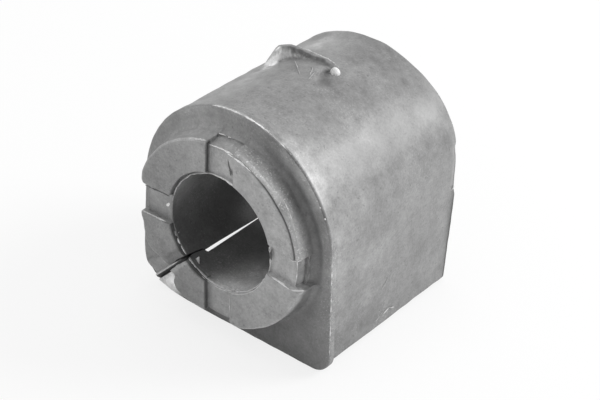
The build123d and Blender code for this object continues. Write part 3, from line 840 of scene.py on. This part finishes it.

# Moulding flash: thin torn edges and scuffed ridges, with painted highlights along some edges and one painted
# shadow. Each row holds where it runs, its half width, its half thickness, the way that its flat side faces, its
# tone and how ragged it is. Where it runs is an arc about the bore, as (first angle, last angle, radius, depth),
# or a list of points. A seventh value is its taper, and 0 opens it from a point to its full width.
flash = {
    "taper": 0.35,
    "dust": 0.5,
    "perMillimetre": (4.0, 5.0),  # points along a millimetre of a line and of a flake
    "lines": [
        # front arch, from left to right, and the short ridge behind it: flash whose light tone is a painted highlight
        ((104, 70, 21.52, -0.02), 0.14, 0.1, (0.1, -0.6, 0.8), 3.6, 0.5),
        ((90, 72, 21.5, 0.1), 0.11, 0.09, (0.1, -0.3, 0.9), 3.6, 0.9),
        ((70, 58, 21.45, 0.05), 0.08, 0.07, (0.3, -0.4, 0.8), 3.2, 1.3),
        ((92, 85, 21.3, 1.25), 0.1, 0.08, (0, 0, 1), 2.6, 0),
        # outer edges of the top and right notch floors, and the ridge that runs on along the next land
        ((101, 82, 16.12, -3.4), 0.14, 0.12, (0, -0.7, 0.7), 3.8, 0.1),
        ((84, 66, 16.5, -4.25), 0.15, 0.09, (0.2, -0.7, 0.7), 3.6, 0.3),
        ((66, 52, 16.6, -4.1), 0.08, 0.06, (0.3, -0.7, 0.6), 2.6, 1),
        ((8, -11, 16.26, -3.42), 0.12, 0.09, (0.7, -0.7, 0), 3, 0.9),
        ((8, -9, 17.2, -1.4), 0.07, 0.06, (0.7, -0.7, 0), 1.5, 0.9),
        # inner edge of the lower right land, with its upper edge
        ((250, 345, 10.98, -4.05), 0.1, 0.08, (0, -1, 0), 2.6, 0.6),
        ([(11, -4.33, -2.75), (12.5, -4.33, -2.98), (14.2, -4.33, -3.25), (15.6, -4.33, -3.6)],
         0.14, 0.08, (0, -0.7, 0.7), 3.2, 0.2),
        ([(15.6, -4.3, -3.6), (16.4, -4.2, -3.5), (17.2, -3.9, -3.3), (17.9, -3.4, -3.2)],
         0.12, 0.07, (0.3, -0.7, 0.7), 2.6, 0.3),
        # lower end of the beaded land
        ([(14.9, -4.2, 2.3), (15.8, -4.1, 2), (16.6, -3.9, 2.2), (17.2, -3.5, 2.5)],
         0.1, 0.07, (0.2, -0.9, -0.3), 2.6, 0),
        # upper edge of the left land, and a painted shadow on the notch floor below the land above the left notch
        ([(-17.3, -4.2, -2.9), (-15.4, -4.33, -2.75), (-13.5, -4.33, -2.7), (-11.6, -4.33, -2.6)],
         0.15, 0.07, (0, -0.7, 0.7), 2.6, 0),
        ([(-17.4, -3.36, 1.9), (-16.8, -3.36, 1.95), (-15.4, -3.36, 1.9), (-13.4, -3.36, 2), (-11.7, -3.36, 2)],
         0.16, 0.05, (0, -1, 0), 0.35, 0.2),
        # left edge of the lower right land
        ([(2.9, -4.33, -11.4), (2.88, -4.33, -13.2), (2.88, -4.33, -15.2), (2.85, -4.3, -16.6)],
         0.08, 0.05, (-0.4, -0.9, 0), 2.6, 0.4),
        # painted highlight along the rim of the upper left land
        ((109, 100, 17.15, -4.16), 0.2, 0.08, (0, -0.7, 0.7), 3.2, 0.3),
        ((132, 101, 17.15, -4.12), 0.17, 0.08, (0, -0.7, 0.7), 2.2, 0.2),
        # bright inner edges of the top notch and of the lower lands
        ((99, 66, 10.95, -3.78), 0.13, 0.08, (0, -1, 0.4), 3, 0.2),
        ((252, 296, 10.9, -3.78), 0.12, 0.08, (0, -1, 0), 2.4, 0.4),
        # faint second line on the bead
        ([(13.2, -3.95, 12.6), (14.7, -3.95, 10.5), (16.3, -3.95, 6.9)], 0.06, 0.05, (0.6, -0.8, 0.2), 2.6, 0.8),
        # painted highlight along the right edge of the lip
        ([(20.3, 0.08, 5.9), (20.6, 0.08, 0.1), (20.8, 0.08, -5.7), (21.02, 0.08, -11.7), (21.2, 0.08, -17.6)],
         0.1, 0.08, (0.8, -0.6, 0), 2.8, 1.6),
        # painted highlight along the upper edge of the rib
        ([(-8.8, 23.3, 21.7), (-6.5, 23.75, 21.98), (-3.5, 23.8, 22), (0, 23.8, 21.92), (1.8, 23.6, 21.65)],
         0.15, 0.09, (0, -0.5, 0.9), 2.6, 0.9),
        # wrinkles between the rib's legs
        ([(-5.8, 21.7, 20.55), (-4.4, 20.4, 20.85), (-3.2, 19.3, 21.05), (-0.8, 17.1, 21.25)],
         0.1, 0.08, (0, 0, 1), 1.8, 0.3),
        ([(1.2, 16.7, 21.25), (0.6, 18.9, 21.27), (0.3, 20.5, 21.27)], 0.08, 0.06, (0, 0, 1), 1.7, 0.6),
        ([(-2, 21.5, 21.15), (-0.6, 20.2, 21.28), (0.5, 18, 21.25), (1.9, 17, 21.2)], 0.08, 0.06, (0, 0, 1), 1.7, 1),
        # scuffs low on the right side
        ([(20, 17, -18.3), (19.95, 18.6, -17.9), (19.9, 20.4, -18.7)], 0.16, 0.05, (1, 0, 0), 2.2, 0.8),
        ([(20.05, 14.6, -18.6), (20, 16.2, -18), (19.98, 17.2, -17.4)], 0.12, 0.05, (1, 0, 0), 1.9, 0.8),
        ([(19.98, 15.6, -12.6), (19.95, 16.9, -11.6), (19.95, 17.8, -10.6)], 0.08, 0.03, (1, 0, 0), 1.7, 0.8),
    ],
    "flakes": [
        # torn strip across the mouth beside the slit
        ([(-10.4, -3.5, -4.4), (-10.15, -3.6, -4.9), (-10, -3.5, -5.3)], 0.1, 0.05, (0.5, -0.8, 0), 1.5, 0.6),
        ([(-9.6, -3.2, -4.3), (-9.9, -3.4, -4.8), (-9.6, -3.4, -5.4)], 0.1, 0.05, (0.5, -0.8, 0), 1.4, 0.6),
        ([(-9.75, -3.4, -5.6), (-9.5, -3.5, -6), (-9.15, -3.5, -6.5)], 0.27, 0.1, (0.3, -0.9, 0.2), 3.4, 0),
        ([(-9.1, -3.4, -6.8), (-8.4, -3.5, -7.4), (-7.7, -3.5, -8.1)], 0.2, 0.07, (0.2, -1, 0), 2.6, 0),
        ([(-7.2, -3.5, -8.6), (-6.3, -3.5, -9.2), (-5.5, -3.5, -9.8)], 0.17, 0.06, (0.2, -1, 0), 2.6, 0),
        ([(-5.7, -3.4, -9.6), (-4.8, -3.4, -10.2), (-3.9, -3.4, -10.6), (-3, -3.5, -11)],
         0.12, 0.06, (0.2, -1, 0), 2.6, 0),
        # chip on the right end of the back edge
        ([(20.1, 34.9, -1.2), (20.12, 35.5, -0.9), (20, 36.1, -0.8)], 0.16, 0.12, (1, 0, 0), 2.6, 0.4),
        # flaps that hang into the bore
        ([(-6.7, -2.6, -9), (-6.1, -2.6, -8.95), (-5.55, -2.6, -8.9)], 0.85, 0.05, (0.1, -1, 0.1), 2.4, 0, 0),
        ([(-9.4, -2, -7.6), (-8.8, -2, -7.4), (-8.2, -2, -7.3)], 0.16, 0.05, (0.2, -0.9, 0.4), 2.6, 0, 1),
        # torn bits at the lower end of the beaded land
        ([(10.9, -3.9, 2.6), (10.75, -4, 2), (10.95, -4, 1.2)], 0.12, 0.06, (0, -1, 0), 2.4, 0),
        ([(11.2, -3.8, 2), (11, -3.8, 1), (11.1, -3.8, -0.2)], 0.26, 0.06, (0, -1, 0), 0.3, 0),
        # dark and light marks in the notches, and chips on the front arch
        ([(1.1, -3.36, 14.7), (1.35, -3.36, 13.5), (1.7, -3.36, 12.5), (1.85, -3.36, 11.8)],
         0.16, 0.03, (0, -1, 0), 0.5, 0.3),
        ([(2, -3.4, 13), (2.2, -3.4, 12.3), (2.5, -3.4, 11.8)], 0.14, 0.03, (0, -1, 0), 0.7, 0.3),
        ([(-3.3, -0.95, 16.85), (-2.4, -0.95, 16.95), (-1.4, -0.95, 17)], 0.12, 0.08, (0, -0.7, 0.7), 3.4, 0),
        ([(-1, -0.95, 17), (-0.4, -0.95, 17)], 0.16, 0.08, (0, -0.7, 0.7), 3, 0),
        ([(-12.5, -3.36, -0.2), (-12, -3.36, 0.1), (-11.6, -3.36, 0.7)], 0.34, 0.08, (0, -1, 0), 3.6, 0),
        ([(16.85, 0, 12.1), (17, 0, 11.9)], 0.12, 0.1, (0.6, -0.7, 0.4), 2.6, 0),
        ([(17.5, 0, 11.2), (17.7, 0, 10.9)], 0.14, 0.1, (0.6, -0.7, 0.4), 2.6, 0),
        ([(18.6, 0, 9.5), (18.8, 0, 9.2)], 0.12, 0.1, (0.6, -0.7, 0.4), 2.6, 0),
    ],
}

# Points along a stroke: an arc about the bore, or straight lines through points. Their number follows from the
# length, with at least seven.
def strokeLine(path, perMillimetre):
    if np.ndim(path) == 1:
        start, end, reach, depth = path
        steps = max(7, int(np.radians(abs(end - start)) * reach * perMillimetre))
        angle = np.radians(np.linspace(start, end, steps))
        return np.stack([reach * np.cos(angle), np.full(steps, depth), reach * np.sin(angle)], -1)
    corners = np.array(path, float)
    span = np.linalg.norm(np.diff(corners, axis=0), axis=1).sum()
    place = np.linspace(0, len(corners) - 1, max(7, int(span * perMillimetre)))
    return np.stack([np.interp(place, np.arange(len(corners)), column) for column in corners.T], -1)

# Flattened tube along a line: the point on the line, plus width * cos across it, plus thickness * sin along
# its face, with both shrunk towards the ends by a power of a half sine wave
def buildStroke(line, seed, sides, width, thick, faces, ragged, taper):
    steps = len(line)
    rng = np.random.default_rng(seed)
    knots = steps // 2 + 2
    wobble = np.interp(np.linspace(0, 1, steps), np.linspace(0, 1, knots),
                       np.clip(rng.uniform(0.45 - ragged, 1.4, knots), 0.04, 2))
    along = np.gradient(line, axis=0)
    along /= np.linalg.norm(along, axis=1)[:, None]
    face = np.array(faces, float)
    face = face - along * (along @ face)[:, None]
    face /= np.linalg.norm(face, axis=1)[:, None]
    across = np.cross(along, face)
    if taper:
        ends = np.clip(np.sin(np.linspace(0, np.pi, steps)) ** taper, 0.06, 1) * wobble
    else:
        ends = np.linspace(0.05, 1, steps)
    line = line + across * (rng.uniform(-0.25, 0.25, steps) * width)[:, None]
    turn = np.linspace(0, 2 * np.pi, sides, endpoint=False)
    ring = line[:, None] + across[:, None] * (width * ends[:, None] * np.cos(turn))[..., None]
    ring = ring + face[:, None] * (thick * ends[:, None] * np.sin(turn))[..., None]
    return ring.reshape(-1, 3)

# All strokes of a list in one mesh
def buildFlash(name, strokes, perMillimetre, sides=8):
    allPoints, quads, caps, toneList, offset = [], [], [], [], 0
    for seed, stroke in enumerate(strokes, start=50):
        path, width, thick, faces, tone, ragged, taper = (stroke + (flash["taper"],))[:7]
        line = strokeLine(path, perMillimetre)
        points = buildStroke(line, seed, sides, width, thick, faces, ragged, taper)
        allPoints.append(points)
        quads.append(gridQuads(len(line), sides, wrapColumns=True) + offset)
        ring = np.arange(sides)[None, :] + offset
        caps += [ring[:, ::-1], ring + (len(line) - 1) * sides]
        offset += len(points)
        toneList.append(np.full(len(points), tone))
    faceSets = [np.concatenate(quads)[:, ::-1], np.concatenate(caps)[:, ::-1]]
    piece = makePiece(name, np.concatenate(allPoints), faceSets, 70)
    setAttribute(piece, "tone", np.concatenate(toneList))
    setAttribute(piece, "dust", np.full(offset, flash["dust"]))
    return piece

flashLines = buildFlash("flashLines", flash["lines"], flash["perMillimetre"][0])
flashFlakes = buildFlash("flashFlakes", flash["flakes"], flash["perMillimetre"][1])
print("flash:", len(flashLines.data.vertices) + len(flashFlakes.data.vertices), "points")

# A socket that takes part in sums: value operators add Math nodes, and any other node comes from node()
class Wire:
    def __init__(self, tree, socket):
        self.tree, self.socket = tree, socket

    def node(self, kind, settings={}, inputs={}, output=0):
        made = self.tree.nodes.new(kind)
        for name, value in settings.items():
            if name == "stops":
                ramp = made.color_ramp.elements
                while len(ramp) < len(value):
                    ramp.new(0.5)
                for element, (place, shade) in zip(ramp, value):
                    element.position, element.color = place, (shade, shade, shade, 1)
            else:
                setattr(made, name, value)
        for name, value in inputs.items():
            if isinstance(value, Wire):
                self.tree.links.new(value.socket, made.inputs[name])
            else:
                made.inputs[name].default_value = value
        return Wire(self.tree, made.outputs[output] if made.outputs else None)

    def sum(self, operation, first, second):
        return self.node("ShaderNodeMath", {"operation": operation}, {0: first, 1: second})

    def __add__(self, other): return self.sum("ADD", self, other)
    def __radd__(self, other): return self.sum("ADD", other, self)
    def __sub__(self, other): return self.sum("SUBTRACT", self, other)
    def __rsub__(self, other): return self.sum("SUBTRACT", other, self)
    def __mul__(self, other): return self.sum("MULTIPLY", self, other)
    def __rmul__(self, other): return self.sum("MULTIPLY", other, self)
    def __truediv__(self, other): return self.sum("DIVIDE", self, other)

    # 0 below low, 1 above high
    def between(self, low, high):
        inputs = {"Value": self, "From Min": low, "From Max": high}
        return self.node("ShaderNodeMapRange", {"interpolation_type": "SMOOTHSTEP"}, inputs)

# Empties the node tree of a material or a world, and gives a wire to start from
def startTree(owner):
    owner.use_nodes = True
    owner.node_tree.nodes.clear()
    return Wire(owner.node_tree, None)

rubber = {
    "shade": 0.245,
    # scale, detail, roughness and distortion of each noise: clouds of about 12, 4, 1.3 and 0.4 millimetres, the
    # pale and dark specks, and the drifts that dust lies in
    "noises": {
        "broad": (75.0, 3.0, 0.55, 0.4),
        "mid": (270.0, 4.0, 0.6, 0.3),
        "blotch": (800.0, 3.0, 0.6, 0.0),
        "fine": (2400.0, 3.0, 0.65, 0.0),
        "grit": (3300.0, 2.0, 0.5, 0.0),
        "speck": (1500.0, 2.0, 0.5, 0.0),
        "drift": (150.0, 4.0, 0.6, 0.5),
    },
    # how strongly the shade changes with each kind of cloud
    "clouds": {"broad": 0.45, "mid": 0.6, "blotch": 0.55, "fine": 0.7},
    "dust": 0.16,
    "darkSpecks": 0.3,
    "roughness": 0.37,
    "roughCloud": 0.16,
    "sheen": 0.55,
    "grain": 0.2,
    "dents": 0.5,
}

# Moulded rubber: a mid grey times the part's tone and clouds at four sizes, plus pale dust in specks and drifts,
# less dark specks. Its gloss changes from patch to patch.
def rubberMaterial(r):
    material = bpy.data.materials.new("mouldedRubber")
    start = startTree(material)
    place = start.node("ShaderNodeTexCoord", output=3)
    noises = {}
    for name, values in r["noises"].items():
        sockets = dict(zip(("Scale", "Detail", "Roughness", "Distortion"), values))
        noises[name] = start.node("ShaderNodeTexNoise", {}, {"Vector": place, **sockets})
    tone = start.node("ShaderNodeAttribute", {"attribute_name": "tone"}, output=2)
    specks = start.node("ShaderNodeAttribute", {"attribute_name": "dust"}, output=2)
    clouds = 1
    for name, strength in r["clouds"].items():
        clouds = (noises[name] - 0.5) * strength + clouds
    dusty = noises["grit"].between(0.56, 0.68) * noises["drift"].between(0.3, 0.65) * specks
    dark = noises["speck"].between(0.34, 0.26) * r["darkSpecks"]
    value = (clouds * r["shade"] * tone + dusty * r["dust"] * (tone * 0.7 + 0.3)) * (1 - dark)
    colour = start.node("ShaderNodeCombineColor", {}, {0: value, 1: value, 2: value})
    rough = noises["drift"] * r["roughCloud"] + (noises["blotch"] - 0.5) * 0.15 + r["roughness"] + dusty * 0.2
    height = noises["mid"] * r["dents"] + noises["blotch"] * 0.4 + noises["fine"] * 0.25
    bump = start.node("ShaderNodeBump", {}, {"Height": height, "Strength": r["grain"], "Distance": 0.0002})
    inputs = {"Base Color": colour, "Roughness": rough, "Specular IOR Level": r["sheen"], "Normal": bump}
    shader = start.node("ShaderNodeBsdfPrincipled", {}, inputs)
    start.node("ShaderNodeOutputMaterial", {}, {"Surface": shader})
    return material

rubberSkin = rubberMaterial(rubber)
for piece in (skin, rib, flashLines, flashFlakes):
    piece.data.materials.append(rubberSkin)
    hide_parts("rubber_bush")
    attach(piece, "root")
print("materials done")

studio = {
    "floorSize": 3.0,
    "floorShade": 0.9,
    "floorGlow": 0.8,
    "floorFade": (0.12, 0.45),  # distances between which the glow becomes full
    "worldLight": 0.62,
    "lamps": [
        {"name": "backRight", "place": (0.45, 0.51, 0.41), "size": 0.36, "power": 3.9},
        {"name": "overhead", "place": (-0.15, 0.1, 0.8), "size": 0.6, "power": 1.2},
    ],
}

# White where a camera ray or a transmission ray meets the world, and a softer light on everything else
def buildWorld(s):
    world = bpy.data.worlds.new("studio")
    bpy.context.scene.world = world
    start = startTree(world)
    seen = start.node("ShaderNodeLightPath")
    through = start.node("ShaderNodeLightPath", output=6)
    strength = start.sum("MAXIMUM", seen, through) * (1 - s["worldLight"]) + s["worldLight"]
    back = start.node("ShaderNodeBackground", {}, {"Color": (1, 1, 1, 1), "Strength": strength})
    start.node("ShaderNodeOutputWorld", {}, {"Surface": back})

# Square floor under the bush. The camera sees it glow, a little less near the bush, so the shadow stays.
def buildFloor(s):
    half = s["floorSize"] / 2 / mm
    corners = np.array([[-half, -half, 0], [half, -half, 0], [half, half, 0], [-half, half, 0]])
    floor = makePiece("floor", corners + [0, 0, floorLevel], [np.array([[0, 1, 2, 3]])])
    material = bpy.data.materials.new("paleFloor")
    start = startTree(material)
    seen = start.node("ShaderNodeLightPath")
    shade = s["floorShade"]
    plain = start.node("ShaderNodeBsdfDiffuse", {}, {"Color": (shade, shade, shade, 1)})
    glow = start.node("ShaderNodeEmission", {}, {"Color": (1, 1, 1, 1), "Strength": 1.0})
    place = start.node("ShaderNodeTexCoord", output=3)
    away = start.node("ShaderNodeVectorMath", {"operation": "LENGTH"}, {0: place}, output=1)
    far = away.between(*s["floorFade"]) * (1 - s["floorGlow"]) + s["floorGlow"]
    mixed = start.node("ShaderNodeMixShader", {}, {0: seen * far, 1: plain, 2: glow})
    start.node("ShaderNodeOutputMaterial", {}, {"Surface": mixed})
    floor.data.materials.append(material)

# Disc lamps, each turned to look at the origin
def buildLamps(s):
    for lamp in s["lamps"]:
        light = bpy.data.lights.new(lamp["name"], "AREA")
        light.shape, light.size, light.energy = "DISK", lamp["size"], lamp["power"]
        holder = bpy.data.objects.new(lamp["name"], light)
        holder.location = lamp["place"]
        holder.rotation_euler = (-Vector(lamp["place"])).to_track_quat("-Z", "Y").to_euler()
        bpy.context.scene.collection.objects.link(holder)

buildWorld(studio)
buildFloor(studio)
buildLamps(studio)

# The camera looks from the front, the right and above. Its place is set by where the bore's front centre
# falls in a 600 x 400 frame and by the distance to that point.
shot = {
    "azimuth": 37.471,
    "elevation": 32.888,
    "roll": 2.693,
    "distance": 0.268378,
    "boreAt": (234.737, 224.008),
    "frame": (600, 400),
    "focalPixels": 1602.095,
    "sensor": 36.0,
}

# Camera at distance * (back - right * offX + up * offY) from the origin, where offX and offY are the bore's
# offsets from the frame's centre in units of the focal length
def buildCamera(c):
    azimuth, elevation, roll = (float(np.radians(c[name])) for name in ("azimuth", "elevation", "roll"))
    back = Vector((np.sin(azimuth) * np.cos(elevation), -np.cos(azimuth) * np.cos(elevation), np.sin(elevation)))
    level = Vector((np.cos(azimuth), np.sin(azimuth), 0))
    upright = back.cross(level)
    right = level * np.cos(roll) + upright * np.sin(roll)
    up = upright * np.cos(roll) - level * np.sin(roll)
    offX = (c["boreAt"][0] - c["frame"][0] / 2) / c["focalPixels"]
    offY = (c["boreAt"][1] - c["frame"][1] / 2) / c["focalPixels"]
    place = c["distance"] * (back - right * offX + up * offY)
    data = bpy.data.cameras.new("camera")
    data.sensor_width = c["sensor"]
    data.lens = c["sensor"] * c["focalPixels"] / c["frame"][0]
    data.clip_start = 0.01
    camera = bpy.data.objects.new("camera", data)
    turn = Matrix((right, up, back)).transposed().to_4x4()
    camera.matrix_world = Matrix.Translation(place) @ turn
    bpy.context.scene.collection.objects.link(camera)
    bpy.context.scene.camera = camera

buildCamera(shot)
bpy.context.scene.view_settings.view_transform = "Standard"
print("studio and camera ready")
